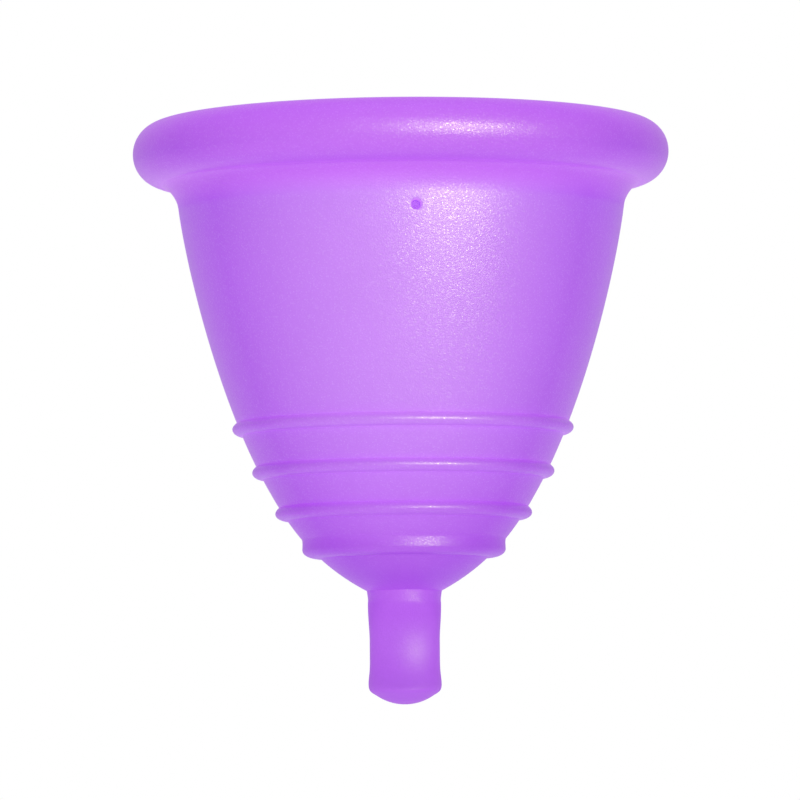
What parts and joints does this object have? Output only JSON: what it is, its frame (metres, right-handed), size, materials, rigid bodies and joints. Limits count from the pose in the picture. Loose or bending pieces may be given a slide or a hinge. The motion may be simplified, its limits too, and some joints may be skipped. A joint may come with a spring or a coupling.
{
  "type": "menstrual cup",
  "caption": "Soft funnel-shaped silicone cup with a rounded sealing rim, air holes under the rim, raised grip rings on the bowl and a short flexible pull stem.",
  "frame": {"origin": "on the axis of revolution, at the lowest point of the stem tip", "axes": "+Z along the axis of revolution towards the mouth; the air hole seen from the front lies 3.8 degrees from -Y towards +X"},
  "size_m": [0.045, 0.045, 0.0488],
  "materials": {
    "violet_silicone": "fine satin, slightly translucent"
  },
  "bodies": {
    "cup": {"sealing_rim": "violet_silicone", "cup_wall": "violet_silicone", "lower_bowl": "violet_silicone", "grip_ring_1": "violet_silicone", "grip_ring_2": "violet_silicone", "grip_ring_3": "violet_silicone", "grip_ring_4": "violet_silicone", "base": "violet_silicone"},
    "neck": {"stem_neck": "violet_silicone"},
    "stem": {"pull_stem": "violet_silicone"}
  },
  "joints": [
    {"name": "stem_flex_x", "type": "hinge", "parent": "cup", "child": "neck", "pos_m": [0, 0, 0.0078], "axis": [1, 0, 0], "range_deg": [-40, 40], "stiffness_Nm_per_rad": 0.001},
    {"name": "stem_flex_y", "type": "hinge", "parent": "neck", "child": "stem", "pos_m": [0, 0, 0.0044], "axis": [0, 1, 0], "range_deg": [-40, 40], "stiffness_Nm_per_rad": 0.001}
  ]
}
